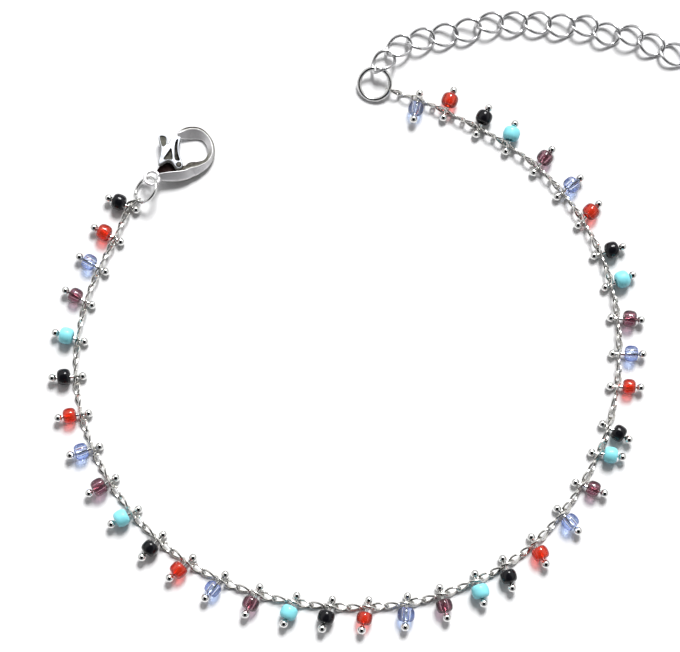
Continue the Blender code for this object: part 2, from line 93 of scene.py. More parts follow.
# The bar's spine, from the eye round to the hook's nose. Its columns are x, y, width and depth; the ridge's
# place across, in half widths; the height of the inner and of the outer shoulder, in half depths; and the
# painted shade of the inner and of the outer shoulder, which stands in for shade and dark reflections there.
# The inner side faces the clasp's opening.
SPINE = np.array((
    (-6.55, -0.35, 1.0, 1.1, 0.45, 0.3, 0.1, 0.0, 0.0),
    (-5.4, -1.15, 1.2, 1.6, 0.6, 0.35, -0.1, 0.0, 0.0),
    (-4.1, -1.95, 1.3, 1.8, 0.6, 0.35, -0.15, 0.2, 0.05),
    (-2.9, -2.4, 1.35, 1.8, 0.45, 0.3, -0.15, 0.4, 0.05),
    (-1.75, -2.22, 2.2, 1.6, -0.05, 0.1, -0.2, 0.8, 0.05),
    (-0.6, -2.52, 1.75, 1.4, -0.1, 0.0, -0.1, 0.8, 0.05),
    (0.75, -2.58, 1.2, 1.3, -0.15, 0.0, 0.05, 0.65, 0.15),
    (2.03, -1.9, 1.05, 1.2, -0.2, 0.05, 0.15, 0.4, 0.4),
    (2.78, -0.6, 1.05, 1.1, -0.3, 0.0, 0.3, 0.05, 0.7),
    (2.93, 0.72, 1.15, 1.05, -0.4, -0.4, 0.3, 0.1, 1.1),
    (2.47, 1.94, 1.65, 1.0, -0.45, -0.7, 0.3, 0.1, 1.5),
    (1.4, 2.78, 1.75, 1.0, -0.45, -0.75, 0.3, 0.1, 1.5),
    (0.3, 3.25, 1.3, 1.0, -0.2, -0.5, 0.2, 0.0, 0.3),
    (-0.3, 3.5, 0.75, 0.85, 0.0, 0.1, 0.3, 0.0, 0.0),
))
SPINE_STEPS = 10
SHOULDER_SIDE = 0.4              # height of the bar's upright side below a shoulder, in half depths
RIDGE_HALF_WIDTH = 0.1           # in half widths
FOOT_HALF_WIDTH = 0.5            # in half widths
EDGE_CUT = 0.27                  # how far the rounding of each edge reaches along the sides beside it
BAR_ENDS = (0.6, 0.9)            # how the bar closes at each end: its last section and the one before
RIDGE_INNER_SHADE = 0.7        # painted shade that runs over the ridge, as a share of each shoulder's
RIDGE_OUTER_SHADE = 0.3
# Painted shade on the bar's lower outer side and on its foot, which dulls the bright floor they would reflect
BAR_SIDE_SHADE = 0.4
BAR_FOOT_SHADE = 0.5
# The cheek reaches under the lever's whole lower edge, so that its near-black top stands in for the shade
# there
CHEEK = np.array((
    (-6.35, -0.6), (-6.4, 0.35), (-5.65, 0.95), (-4.4, 1.2), (-3.3, 0.85), (-2.5, -0.3),
    (-2.0, -2.0), (-2.9, -2.4), (-4.1, -1.95), (-5.4, -1.15),
))
CHEEK_BOTTOM = -0.8
CHEEK_TOP = -0.45
CHEEK_SOFT = 0.07
# Painted shade on the cheek's upper edge
CHEEK_EDGE_SHADE = 0.5
EYE_X = -7.4
EYE_HOLE = 0.8
EYE_BAR = 0.27
EYE_STEPS = 48
EYE_SIDES = 16
BOSS_RADII = (0.7, 1.3)
BOSS_TURN_DEG = (212, 328)
BOSS_STEPS = 25
BOSS_BOTTOM = CHEEK_BOTTOM + 0.1
BOSS_TOP = 0.3
# Painted shade on the boss's upper edge and top
BOSS_SHADE = 0.62
POST_SIDES = 28
POST_RADIUS = 0.3
POST_TOP = 0.74
# Painted shade over the whole post
POST_SHADE = 0.65
# Near-black painted shade on the cheek's top: the shade in the pocket under the lever
POCKET_SHADE = 1.0
LEVER = np.array((
    (-0.1, 2.7), (-0.65, 3.2), (-1.5, 3.45), (-2.3, 2.95), (-2.7, 2.75), (-1.88, 3.65), (-1.98, 4.4),
    (-2.8, 4.92), (-3.3, 3.85), (-3.65, 2.9), (-4.5, 2.0), (-5.2, 1.5), (-5.5, 1.0), (-5.1, 0.8),
    (-4.1, 0.85), (-3.6, 0.3), (-3.73, -0.6), (-3.6, -1.15), (-3.1, -1.37), (-2.6, -1.15),
    (-2.3, -0.5), (-2.1, 0.3), (-1.8, 1.0), (-1.3, 1.7), (-0.7, 2.2),
))
# Wells in the lever: outline, floor height and painted shade of the floor
LEVER_WELLS = (
    (((-2.3, 2.2), (-3.2, 1.85), (-4.55, 1.3), (-4.25, 0.98), (-3.72, 0.72), (-3.4, 0.35),
      (-2.98, 1.0)), 0.15, 0.62),
    (((-0.65, 2.75), (-1.25, 2.65), (-2.0, 1.9), (-2.65, 0.98), (-3.16, 0.2), (-2.85, -0.22), (-2.5, -0.3),
      (-2.3, 0.4), (-1.98, 1.1), (-1.5, 1.8)), 0.0, 0.8),
    (((-2.74, 4.78), (-2.1, 4.34), (-2.0, 3.72), (-2.6, 2.92), (-3.5, 2.8), (-3.18, 3.85)), 0.5, 0.58),
)
LEVER_BOTTOM = -0.3
LEVER_TOP = 0.7
LEVER_HOLE = 0.42
LEVER_HOLE_SIDES = 28
LEVER_SOFT = 0.12
# Painted shade on the lever's side and rim
LEVER_SIDE_SHADE = 0.35
LEVER_RIM_SHADE = 0.3
# Painted shade in the bore, deeper at its bottom
LEVER_HOLE_SHADE = (0.9, 0.3)  # at the bottom and at the top of the bore
SHARP_CLASP_DEG = 50
MERGE_DISTANCE = 1e-4

# Metal: sizes of its markings and of the patches of its painted shade, as noise scales
CLOUD_SCALE = 700.0
MARK_SCALE = 6000.0
SHADE_PATCH_SCALE = 1800.0
OLIVE = (0.15, 0.15, 0.12)
NEAR_BLACK = (0.018, 0.008, 0.007)

# Glass
GLASS_IOR = 1.50

# Floor: a little under the part, so that nothing shares a face with it
FLOOR_RADII = (1.5, 0.3, 0.05)
FLOOR_SIDES = 96
FLOOR_DROP = 0.01
FLOOR_CLEARANCE = 0.00002

# Light and camera
SUN_FROM = (0.26, 1.03, 1.27)
SUN_STRENGTH = 3.9
SUN_SPREAD = math.radians(23)
DARK_ELEVATION = math.radians(66)  # the dark patch of the studio, in front and above
CAMERA_AIM_MM = (-5.2, -2.3, 0.8)
CAMERA_LIFT = math.radians(75)
CAMERA_AWAY = 300 * MM
LENS = 109.5
FILM_WIDTH = 36


# ---- Node graphs ----

class Value:
    """A number in a node graph, with arithmetic."""

    def __init__(self, graph, socket):
        self.graph = graph
        self.socket = socket

    def maths(self, operation, *values):
        made = self.graph.node("Math", {"operation": operation}, dict(enumerate(values)))
        return Value(self.graph, made.outputs[0])

    def __add__(self, other):
        return self.maths("ADD", self, other)

    def __radd__(self, other):
        return self.maths("ADD", other, self)

    def __sub__(self, other):
        return self.maths("SUBTRACT", self, other)

    def __rsub__(self, other):
        return self.maths("SUBTRACT", other, self)

    def __mul__(self, other):
        return self.maths("MULTIPLY", self, other)

    def __rmul__(self, other):
        return self.maths("MULTIPLY", other, self)

    def step(self, low, high):
        """0 below low, 1 above high, and smooth between them."""
        made = self.graph.node("MapRange", {"interpolation_type": "SMOOTHSTEP"},
                               {"Value": self, "From Min": low, "From Max": high})
        return Value(self.graph, made.outputs["Result"])


class Graph:
    """A node tree that is filled by code."""

    def __init__(self, owner, output):
        owner.use_nodes = True
        self.tree = owner.node_tree
        self.tree.nodes.clear()
        self.output = self.tree.nodes.new(output)

    def node(self, kind, settings=None, values=None):
        made = self.tree.nodes.new("ShaderNode" + kind)
        for key, value in (settings or {}).items():
            setattr(made, key, value)
        for key, value in (values or {}).items():
            self.put(made.inputs[key], value)
        return made

    def put(self, socket, value):
        if isinstance(value, Value):
            self.tree.links.new(value.socket, socket)
        elif isinstance(value, bpy.types.NodeSocket):
            self.tree.links.new(value, socket)
        else:
            socket.default_value = value

    def noise(self, place, scale, detail=2.0):
        made = self.node("TexNoise", values={"Vector": place, "Scale": scale, "Detail": detail})
        return Value(self, made.outputs["Fac"])

    def mix(self, factor, first, second):
        made = self.node("Mix", {"data_type": "RGBA"}, {0: factor, 6: first, 7: second})
        return made.outputs[2]

    def attribute(self, name):
        return self.node("Attribute", {"attribute_name": name})

    def part(self, vector, axis):
        return Value(self, self.node("SeparateXYZ", values={0: vector}).outputs[axis])

    def bump(self, height, strength, distance):
        made = self.node("Bump", values={"Height": height, "Strength": strength, "Distance": distance})
        return made.outputs["Normal"]


def rgb(red, green, blue):
    return (red, green, blue, 1.0)


def new_material(name):
    made = bpy.data.materials.new(name)
    return made, Graph(made, "ShaderNodeOutputMaterial")


def silver(name, colour, roughness, wear, deep=NEAR_BLACK):
    """Bright plated metal: faint cloudy polish, hairline marks, and painted shade, olive first and then deep.
    """
    made, graph = new_material(name)
    place = graph.node("TexCoord").outputs["Object"]
    cloud = graph.noise(place, CLOUD_SCALE, 3.0)
    marks = graph.noise(place, MARK_SCALE, 2.0)
    dull = cloud.step(0.45, 0.75)
    patchy = 0.55 + graph.noise(place, SHADE_PATCH_SCALE, 3.0) * 0.9
    # Painted shade: a per-point amount, made patchy by noise, darkens the metal to olive and then near-black
    shade_amount = Value(graph, graph.attribute("tarnish").outputs["Fac"]) * patchy
    bright = graph.mix(dull * wear, rgb(*colour), rgb(*(part * 0.62 for part in colour)))
    olive = graph.mix(shade_amount.step(0.0, 0.55), bright, rgb(*OLIVE))
    shader = graph.node("BsdfPrincipled", values={
        "Base Color": graph.mix(shade_amount.step(0.35, 0.9), olive, rgb(*deep)),
        "Metallic": 1 - shade_amount.step(0.0, 0.6) * 0.8 + shade_amount.step(0.6, 1.0) * 0.7,
        "Roughness": roughness + dull * 0.10 + marks * 0.05 + shade_amount * 0.25,
        "Normal": graph.bump(cloud * 0.7 + marks * 0.3, 0.10, 0.05 * MM),
    })
    graph.put(graph.output.inputs["Surface"], shader.outputs[0])
    return made


def opaque_glass(name, low, high, roughness, coat, ior):
    """Opaque glass with painted shading, deeper low down and brighter on top, with a glossy skin and a faint
    streak.
    """
    made, graph = new_material(name)
    inside = graph.attribute("bead_place").outputs["Vector"]
    tone = graph.attribute("bead_tone").outputs["Fac"]
    streaks = graph.noise(inside, 1.3, 2.0)
    height = graph.part(inside, 2)
    # Painted light and shade: the colour runs from low to high with height, so the top reads lit and the
    # bottom shaded
    lit = (height + streaks * 0.8 - 0.4 + Value(graph, tone) * 0.3).step(-1.1, 1.1)
    shader = graph.node("BsdfPrincipled", values={
        "Base Color": graph.mix(lit, rgb(*low), rgb(*high)),
        "Roughness": roughness + streaks * 0.05,
        "Coat Weight": coat,
        "Coat Roughness": 0.04,
        "IOR": ior,
        "Normal": graph.bump(streaks, 0.15, 0.05 * MM),
    })
    graph.put(graph.output.inputs["Surface"], shader.outputs[0])
    return made


def clear_glass(name, body, core, shade, cloudiness):
    """See-through coloured glass: a paler heart and a deeper rim, painted by how squarely the surface faces
    the view to stand in for light through the middle and dark edges, and a shadow with its own colour.
    """
    made, graph = new_material(name)
    inside = graph.attribute("bead_place").outputs["Vector"]
    tone = Value(graph, graph.attribute("bead_tone").outputs["Fac"])
    streaks = graph.noise(inside, 1.6, 2.0)
    facing = Value(graph, graph.node("LayerWeight", values={"Blend": 0.5}).outputs["Facing"])
    # Painted light: the colour is paler where the surface faces the view and deeper towards the rim
    heart = (1 - facing) * (0.8 + streaks * 0.4) + tone * 0.10
    colour = graph.mix(heart.step(0.33, 0.98), rgb(*body), rgb(*core))
    glass = graph.node("BsdfPrincipled", values={
        "Base Color": colour,
        "Roughness": 0.03,
        "IOR": GLASS_IOR,
        "Transmission Weight": 1.0,
        "Normal": graph.bump(streaks, 0.12, 0.05 * MM),
    })
    cloud = graph.node("BsdfPrincipled", values={
        "Base Color": colour,
        "Roughness": 0.12,
        "IOR": GLASS_IOR,
    })
    mixed = graph.node("MixShader", values={0: cloudiness, 1: glass.outputs[0], 2: cloud.outputs[0]})
    through = graph.node("BsdfTransparent", values={"Color": rgb(*shade)})
    shadow = Value(graph, graph.node("LightPath").outputs["Is Shadow Ray"])
    light = shadow * (1 - facing.step(0.25, 0.9) * 0.6)
    both = graph.node("MixShader", values={0: light, 1: mixed.outputs[0], 2: through.outputs[0]})
    graph.put(graph.output.inputs["Surface"], both.outputs[0])
    return made


# ---- Surfaces ----

def grid_faces(rows, columns, wrap_rows, wrap_columns):
    """Quads of a grid of points kept row by row; a wrapped side joins its last line to its first."""
    row = np.arange(rows if wrap_rows else rows - 1)[:, None]
    column = np.arange(columns if wrap_columns else columns - 1)[None, :]
    below = (row + 1) % rows
    right = (column + 1) % columns
    quads = (row * columns + column, row * columns + right, below * columns + right,
             below * columns + column)
    return np.stack(quads, axis=-1).reshape(-1, 4).tolist()


def capped(sections):
    """A closed surface through sections of shape (rows, columns, 3), with each end drawn to the middle
    of its section."""
    rows, columns = sections.shape[:2]
    faces = grid_faces(rows, columns, False, True)
    ends = np.stack((sections[0].mean(axis=0), sections[-1].mean(axis=0)))
    points = np.concatenate((sections.reshape(-1, 3), ends))
    first, last = rows * columns, rows * columns + 1
    around = np.arange(columns)
    after = (around + 1) % columns
    faces += np.stack((np.full(columns, first), after, around), axis=-1).tolist()
    base = (rows - 1) * columns
    faces += np.stack((np.full(columns, last), base + around, base + after), axis=-1).tolist()
    return facing_out(points, faces)


def wrapped(sections):
    """A closed ring-like surface: both directions of the grid join up."""
    rows, columns = sections.shape[:2]
    return facing_out(sections.reshape(-1, 3), grid_faces(rows, columns, True, True))


def facing_out(points, faces):
    """Points and faces, turned over if their volume comes out below zero."""
    first = points[[face[0] for face in faces]]
    second = points[[face[1] for face in faces]]
    third = points[[face[2] for face in faces]]
    last = points[[face[-1] for face in faces]]
    volume = (first * np.cross(second, third)).sum() + (first * np.cross(third, last)).sum()
    if volume < 0:
        faces = [face[::-1] for face in faces]
    return points, faces


def spun(profile, sides):
    """Points of a profile of (distance, radius) turned about X: y = radius cos a, z = radius sin a."""
    angle = 2 * math.pi * np.arange(sides) / sides
    distance = np.repeat(profile[:, :1], sides, axis=1)
    return np.stack((distance, profile[:, 1:] * np.cos(angle), profile[:, 1:] * np.sin(angle)), axis=-1)


def tube(centres, radius, sides, closed):
    """A round wire along centres that run about the origin: each section is a circle across the path,
    centre + radius (cos a * outward + sin a * upward). Radius is one number or one for each section."""
    if closed:
        forward = np.roll(centres, -1, axis=0) - np.roll(centres, 1, axis=0)
    else:
        forward = np.gradient(centres, axis=0)
    forward = unit(forward)
    outward = unit(centres - forward * (centres * forward).sum(axis=1, keepdims=True))
    upward = np.cross(forward, outward)
    angle = 2 * math.pi * np.arange(sides)[None, :, None] / sides
    reach = np.broadcast_to(np.asarray(radius, float), len(centres))[:, None, None]
    return centres[:, None] + reach * (np.cos(angle) * outward[:, None] + np.sin(angle) * upward[:, None])


def unit(vectors):
    return vectors / np.linalg.norm(vectors, axis=-1, keepdims=True)


def smooth_line(knots, pieces):
    """A Catmull-Rom curve through rows of any width, with some pieces from each knot to the next:
    half of 2b + (c - a) t + (2a - 5b + 4c - d) t^2 + (3b - a - 3c + d) t^3 between b and c."""
    knots = np.asarray(knots, float)
    padded = np.concatenate((2 * knots[:1] - knots[1:2], knots, 2 * knots[-1:] - knots[-2:-1]))
    a, b, c, d = padded[:-3, None], padded[1:-2, None], padded[2:-1, None], padded[3:, None]
    t = (np.arange(pieces) / pieces)[None, :, None]
    line = 0.5 * (2 * b + (c - a) * t + (2 * a - 5 * b + 4 * c - d) * t**2 + (3 * b - a - 3 * c + d) * t**3)
    return np.concatenate((line.reshape(-1, knots.shape[1]), knots[-1:]))


class Piece:
    """The points and faces of one object, gathered part by part."""

    def __init__(self):
        self.points = []
        self.faces = []
        self.count = 0
        self.values = {}

    def add(self, shape, place=None, **values):
        points, faces = shape
        if place is not None:
            turn = np.array(place)
            points = points @ turn[:3, :3].T + turn[:3, 3]
        self.points.append(points)
        self.faces += [[corner + self.count for corner in face] for face in faces]
        self.count += len(points)
        for name, value in values.items():
            self.values.setdefault(name, []).append(np.asarray(value, np.float32))

    def build(self, name, material, body, slot, nodes, sharp_deg=40):
        mesh = bpy.data.meshes.new(name)
        mesh.from_pydata(np.concatenate(self.points).tolist(), [], self.faces)
        for key, parts in self.values.items():
            data = np.concatenate(parts)
            kind, field = ("FLOAT_VECTOR", "vector") if data.ndim == 2 else ("FLOAT", "value")
            mesh.attributes.new(key, kind, "POINT").data.foreach_set(field, data.ravel())
        mesh.shade_smooth()
        mesh.set_sharp_from_angle(angle=math.radians(sharp_deg))
        mesh.materials.append(material)
        item = bpy.data.objects.new(name, mesh)
        bpy.context.scene.collection.objects.link(item)
        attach(item, body)
        if nodes:
            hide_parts(*nodes)
        return item


# ---- Places taken from the solids ----

def node_points(name):
    """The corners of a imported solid, each once."""
    mesh = nodes[name].data
    points = np.zeros(len(mesh.vertices) * 3, np.float32)
    mesh.vertices.foreach_get("co", points)
    return np.unique(points.reshape(-1, 3).astype(float).round(8), axis=0)


def pin_place(name):
    """A drop's frame: origin at its inner ball's centre, X out along its pin, Y level."""
    points = node_points(name)
    flat = points[:, :2]
    middle = flat.mean(axis=0)
    along = np.linalg.svd(flat - middle)[2][0]
    reach = (flat - middle) @ along
    centre = middle + along * (reach.min() + reach.max()) / 2
    girdle = points[points[:, 2] > points[:, 2].max() - GIRDLE_BAND][:, :2].mean(axis=0)
    if (girdle - centre) @ along < 0:
        along = -along
    slope = math.asin((BEAD_RADIUS - BEAD_SLACK - BALL_RADIUS) / (BEAD_CENTRE + BEAD_HALF_LENGTH))
    inner = centre - along * math.cos(slope) * PIN_SPAN / 2
    heading = math.atan2(along[1], along[0])
    return (Matrix.Translation((inner[0], inner[1], BALL_RADIUS)) @ Matrix.Rotation(heading, 4, "Z")
            @ Matrix.Rotation(-slope, 4, "Y"))


def bead_place(pin):
    """A bead's frame: level, resting on the floor, with X along its hole."""
    middle = pin @ Vector((BEAD_CENTRE, 0, 0))
    heading = pin.to_euler().z
    return Matrix.Translation((middle.x, middle.y, BEAD_RADIUS)) @ Matrix.Rotation(heading, 4, "Z")


def ring_place(name, wire):
    """A jump ring's frame, with X to the middle of its seam, and its radius to the middle of the wire."""
    points = node_points(name)
    normal = np.linalg.svd(points - points.mean(axis=0))[2][2]
    helper = np.cross(normal, (1.0, 0.0, 0.0))
    x = unit(helper)
    y = np.cross(normal, x)
    flat = np.stack((points @ x, points @ y), axis=-1)
    system = np.column_stack((2 * flat, np.ones(len(flat))))
    fit = np.linalg.lstsq(system, (flat**2).sum(axis=1), rcond=None)[0]
    for _ in range(RIM_ROUNDS):
        distance = np.linalg.norm(flat - fit[:2], axis=1)
        outer = distance > distance.max() - RIM_BAND * wire
        fit = np.linalg.lstsq(system[outer], (flat[outer]**2).sum(axis=1), rcond=None)[0]
    radius = np.linalg.norm(flat[outer] - fit[:2], axis=1).mean() - wire
    angle = np.sort(np.arctan2(flat[:, 1] - fit[1], flat[:, 0] - fit[0]))
    gaps = np.diff(np.append(angle, angle[0] + 2 * math.pi))
    widest = int(np.argmax(gaps))
    seam = angle[widest] + gaps[widest] / 2
    x_seam = math.cos(seam) * x + math.sin(seam) * y
    y_seam = np.cross(normal, x_seam)
    height = (points @ normal).min() / 2 + (points @ normal).max() / 2
    centre = fit[0] * x + fit[1] * y + height * normal
    place = np.eye(4)
    place[:3, 0], place[:3, 1], place[:3, 2], place[:3, 3] = x_seam, y_seam, normal, centre
    return Matrix(place.tolist()), radius


def curb_place(name):
    """An extender link's frame: its length along X. Its shape is the same when turned over."""
    points = node_points(name)
    centre = points.mean(axis=0)
    axes = np.linalg.svd(points - centre, full_matrices=False)[2]
    axes[2] = np.cross(axes[0], axes[1])
    place = np.eye(4)
    place[:3, :3] = axes.T
    place[:3, 3] = centre
    return Matrix(place.tolist())


def clasp_place():
    """The clasp's frame, from its lever's pivot. It tips only about its own Y, which stays level."""
    joint = frame["joints"][0]
    up = -Vector(joint["axis"]).normalized()
    level = Vector((0, 0, 1)).cross(up).normalized()
    along = level.cross(up)
    side = up.cross(along)
    turn = Matrix((along, side, up)).transposed().to_4x4()
    shift = turn @ Vector((PIVOT[0] * MM, PIVOT[1] * MM, 0))
    return Matrix.Translation(Vector(joint["pos_m"]) - shift) @ turn


# ---- Pieces ----

def drop_shapes():
    """A pin and a bead, each turned about X. The balls are arcs, and the bead's outside is a squared
    oval: x = half length * (cos a)^p and radius = hole + wall * (sin a)^p, with p = 2 / roundness."""
    ball = np.linspace(0, math.pi, BALL_STEPS)
    inner = np.stack((-BALL_RADIUS * np.cos(ball), BALL_RADIUS * np.sin(ball)), axis=-1)
    neck = inner[(inner[:, 0] < 0) | (inner[:, 1] > PIN_RADIUS * 1.25)]
    waist = neck[-1, 0]
    fillet = ((waist + 0.05 * MM, PIN_RADIUS * 1.05), (waist + 0.12 * MM, PIN_RADIUS))
    left = np.concatenate((neck[1:], fillet))
    right = left[::-1] * (-1, 1) + (PIN_SPAN, 0)
    pin = capped(spun(np.concatenate((left, right)), PIN_SIDES))
    angle = np.linspace(0, math.pi, BEAD_STEPS)
    across = np.sign(np.cos(angle)) * np.abs(np.cos(angle)) ** (2 / BEAD_ROUNDNESS)
    outer = BEAD_HOLE + (BEAD_RADIUS - BEAD_HOLE) * np.sin(angle) ** (2 / BEAD_ROUNDNESS)
    outside = np.stack((BEAD_HALF_LENGTH * across, outer), axis=-1)
    bore = BEAD_HOLE - BEAD_LIP
    inside = np.array(((-BEAD_HALF_LENGTH + BEAD_LIP, bore), (0, bore), (BEAD_HALF_LENGTH - BEAD_LIP, bore)))
    bead = wrapped(spun(np.concatenate((outside, inside)), BEAD_SIDES))
    return pin, bead


def add_drops(looks):
    pin, bead = drop_shapes()
    pins = Piece()
    groups = {colour: Piece() for colour in COLOURS}
    places = []
    spread = np.random.default_rng(DROP_SEED)
    for index in range(DROP_COUNT):
        place = pin_place(f"drop_{index + 1:02d}")
        places.append(place)
        pins.add(pin, place)
        size = spread.uniform(*BEAD_SIZES)
        sink = Matrix.Translation((0, 0, (size - 1) * BEAD_RADIUS))
        groups[COLOURS[index % len(COLOURS)]].add(
            bead, sink @ bead_place(place) @ Matrix.Scale(size, 4),
            bead_place=bead[0] / MM, bead_tone=np.full(len(bead[0]), spread.uniform()))
    every = [f"drop_{index + 1:02d}" for index in range(DROP_COUNT)]
    pins.build("ball_pins", looks["wire"], "anklet", "chain_silver", every)
    for start, colour in enumerate(COLOURS):
        groups[colour].build(f"{colour}_beads", looks[colour], "anklet", f"{colour}_bead",
                             every[start::len(COLOURS)])
    return places


def nearest_on_ring(place, radius, point):
    """The point of a ring's wire nearest to another point."""
    local = place.inverted() @ point
    local.z = 0
    return place @ (local.normalized() * radius)


def fine_chain(look, crossings, start, end):
    """Small oval links along a smooth line through both ends and every drop's crossing."""
    knots = np.array([start, *crossings, end])[:, :2]
    line = smooth_line(knots, LINE_STEPS)
    distance = np.concatenate(((0.0,), np.cumsum(np.linalg.norm(np.diff(line, axis=0), axis=1))))
    marks = distance[LINE_STEPS:-1:LINE_STEPS][:DROP_COUNT]
    even = marks.copy()
    for _ in range(2):
        even[1:-1] = even[:-2] / 4 + even[1:-1] / 2 + even[2:] / 4
    even = np.clip(even, marks - LINK_SHIFT, marks + LINK_SHIFT)
    even[0], even[-1] = marks[0], marks[-1]
    step = np.arange(LINKS_A_GAP) / LINKS_A_GAP
    inner = (even[:-1, None] + np.diff(even)[:, None] * step).ravel()
    last = distance[-1] - END_LINK_REACH
    where = np.concatenate(((END_LINK_REACH,), inner, (even[-1], (even[-1] + last) / 2, last)))
    period = (*FREE_LINK_ROLLS_DEG, PIN_LINK_ROLL_DEG)
    rolls = np.concatenate((FIRST_ROLLS_DEG, np.tile(period, DROP_COUNT - 1), LAST_ROLLS_DEG))
    x = np.interp(where, distance, line[:, 0])
    y = np.interp(where, distance, line[:, 1])
    ahead = np.stack([np.interp(where + HEADING_REACH, distance, line[:, axis]) for axis in (0, 1)])
    behind = np.stack([np.interp(where - HEADING_REACH, distance, line[:, axis]) for axis in (0, 1)])
    headings = np.arctan2(*(ahead - behind)[::-1])

    half_width = LINK_HALF_WIDTH - LINK_WIRE
    link = twisted_link(LINK_HALF_LENGTH - LINK_WIRE, half_width, LINK_WIRE, LINK_TWIST,
                        LINK_STEPS, LINK_SIDES)
    piece = Piece()
    for index, roll in enumerate(rolls):
        height = half_width * abs(math.sin(math.radians(roll))) + LINK_WIRE
        piece.add(link, Matrix.Translation((x[index], y[index], height))
                  @ Matrix.Rotation(headings[index], 4, "Z") @ Matrix.Rotation(math.radians(roll), 4, "X"))
    piece.build("fine_chain", look, "anklet", "chain_silver", ["chain"])


def jump_ring(name, look, place, radius, wire):
    """Round wire in a circle, cut through at its seam, the cut ends slightly rounded."""
    angle = np.linspace(SEAM_HALF_DEG, 360 - SEAM_HALF_DEG, RING_STEPS) * math.pi / 180
    centres = radius * np.stack((np.cos(angle), np.sin(angle), np.zeros(len(angle))), axis=-1)
    reach = np.full(len(angle), wire)
    reach[[0, -1]] = 0.8 * wire
    piece = Piece()
    piece.add(capped(tube(centres, reach, RING_SIDES, False)), place)
    piece.build(name, look, "anklet", "ring_silver", [name])


def twisted_link(half_length, half_width, wire, twist, steps, sides):
    """Wire along an oval whose ends are turned opposite ways, by twist times cos a:
    x = half_length cos a, and y, z = half_width sin a turned by that angle about X."""
    angle = 2 * math.pi * np.arange(steps) / steps
    turn = twist * np.cos(angle)
    side = half_width * np.sin(angle)
    centres = np.stack((half_length * np.cos(angle), side * np.cos(turn), side * np.sin(turn)), axis=-1)
    return wrapped(tube(centres, wire, sides, True))


def extender(look):
    link = twisted_link(CURB_LENGTH / 2 - CURB_WIRE, CURB_WIDTH / 2 - CURB_WIRE, CURB_WIRE, CURB_TWIST,
                        CURB_STEPS, CURB_SIDES)
    names = sorted(name for name in nodes if name.startswith("extender_link"))
    piece = Piece()
    for name in names:
        piece.add(link, curb_place(name))
    piece.build("extender_links", look, "anklet", "extender_silver", names)


def rounded_corners(sections, cut):
    """Each corner of closed polygons (rows, corners, values) as four points of a small curve."""
    before = np.roll(sections, 1, axis=1) - sections
    after = np.roll(sections, -1, axis=1) - sections
    start = sections + before * cut
    stop = sections + after * cut
    parts = []
    for t in (0.0, 1 / 3, 2 / 3, 1.0):
        parts.append((1 - t)**2 * start + 2 * t * (1 - t) * sections + t**2 * stop)
    return np.stack(parts, axis=2).reshape(len(sections), -1, sections.shape[2])


def hook_shape():
    """The clasp's bar: a section with a ridge along its top and softened edges, carried along the spine.
    Gives its surface and the painted shade of each point."""
    stations = smooth_line(SPINE, SPINE_STEPS)
    middle = stations[:, :2]
    forward = unit(np.gradient(middle, axis=0))
    side = np.stack((-forward[:, 1], forward[:, 0]), axis=-1)
    width, depth, ridge, inner_up, outer_up, inner_shade, outer_shade = stations.T[2:]
    none = np.zeros(len(stations))
    # Each corner: place across, height, and painted shade
    around = (
        (none + 1, inner_up - SHOULDER_SIDE, none),
        (none + 1, inner_up, inner_shade),
        (ridge + RIDGE_HALF_WIDTH, 1, inner_shade * RIDGE_INNER_SHADE),
        (ridge - RIDGE_HALF_WIDTH, 1, outer_shade * RIDGE_OUTER_SHADE),
        (none - 1, outer_up, outer_shade),
        (none - 1, outer_up - SHOULDER_SIDE, none + BAR_SIDE_SHADE),
        (none - FOOT_HALF_WIDTH, -1, none + BAR_FOOT_SHADE),
        (none + FOOT_HALF_WIDTH, -1, none),
    )
    edges = [np.stack((across * width / 2, up * depth / 2, shade_amount), axis=-1) for across, up, shade_amount in around]
    section = rounded_corners(np.stack(edges, axis=1), EDGE_CUT)
    shrink = np.ones(len(stations))
    shrink[[0, -1]], shrink[[1, -2]] = BAR_ENDS
    section[..., :2] *= shrink[:, None, None]
    flat = middle[:, None] + section[..., :1] * side[:, None]
    surface = capped(np.concatenate((flat, section[..., 1:2]), axis=-1) * MM)
    return surface, np.append(section[..., 2].ravel(), (0.0, 0.0))


def cut_corners(points, times=3):
    """A closed outline with its corners cut at a quarter and three quarters of each side, time after time."""
    points = np.asarray(points, float)
    for _ in range(times):
        after = np.roll(points, -1, axis=0)
        points = np.stack((points * 0.75 + after * 0.25, points * 0.25 + after * 0.75), axis=1).reshape(-1, 2)
    return points


def round_hole(centre, radius, count):
    angle = 2 * math.pi * np.arange(count) / count
    return np.asarray(centre) + radius * np.stack((np.cos(angle), np.sin(angle)), axis=-1)


def inset(outline, amount):
    """An outline moved inwards by an amount, along its own normals."""
    forward = unit(np.roll(outline, -1, axis=0) - np.roll(outline, 1, axis=0))
    area = (outline[:, 0] * np.roll(outline[:, 1], -1) - outline[:, 1] * np.roll(outline[:, 0], -1)).sum()
    inward = np.stack((-forward[:, 1], forward[:, 0]), axis=-1) * math.copysign(1, area)
    return outline + inward * amount


def wall_rows(rows):
    """Quads between outlines of the same length, from rows of (outline, height, painted shade)."""
    count = len(rows[0][0])
    sections = np.stack([np.column_stack((outline, np.full(count, height))) for outline, height, _ in rows])
    shade_amount = np.repeat([row[2] for row in rows], count)
    return sections.reshape(-1, 3), grid_faces(len(rows), count, False, True), shade_amount


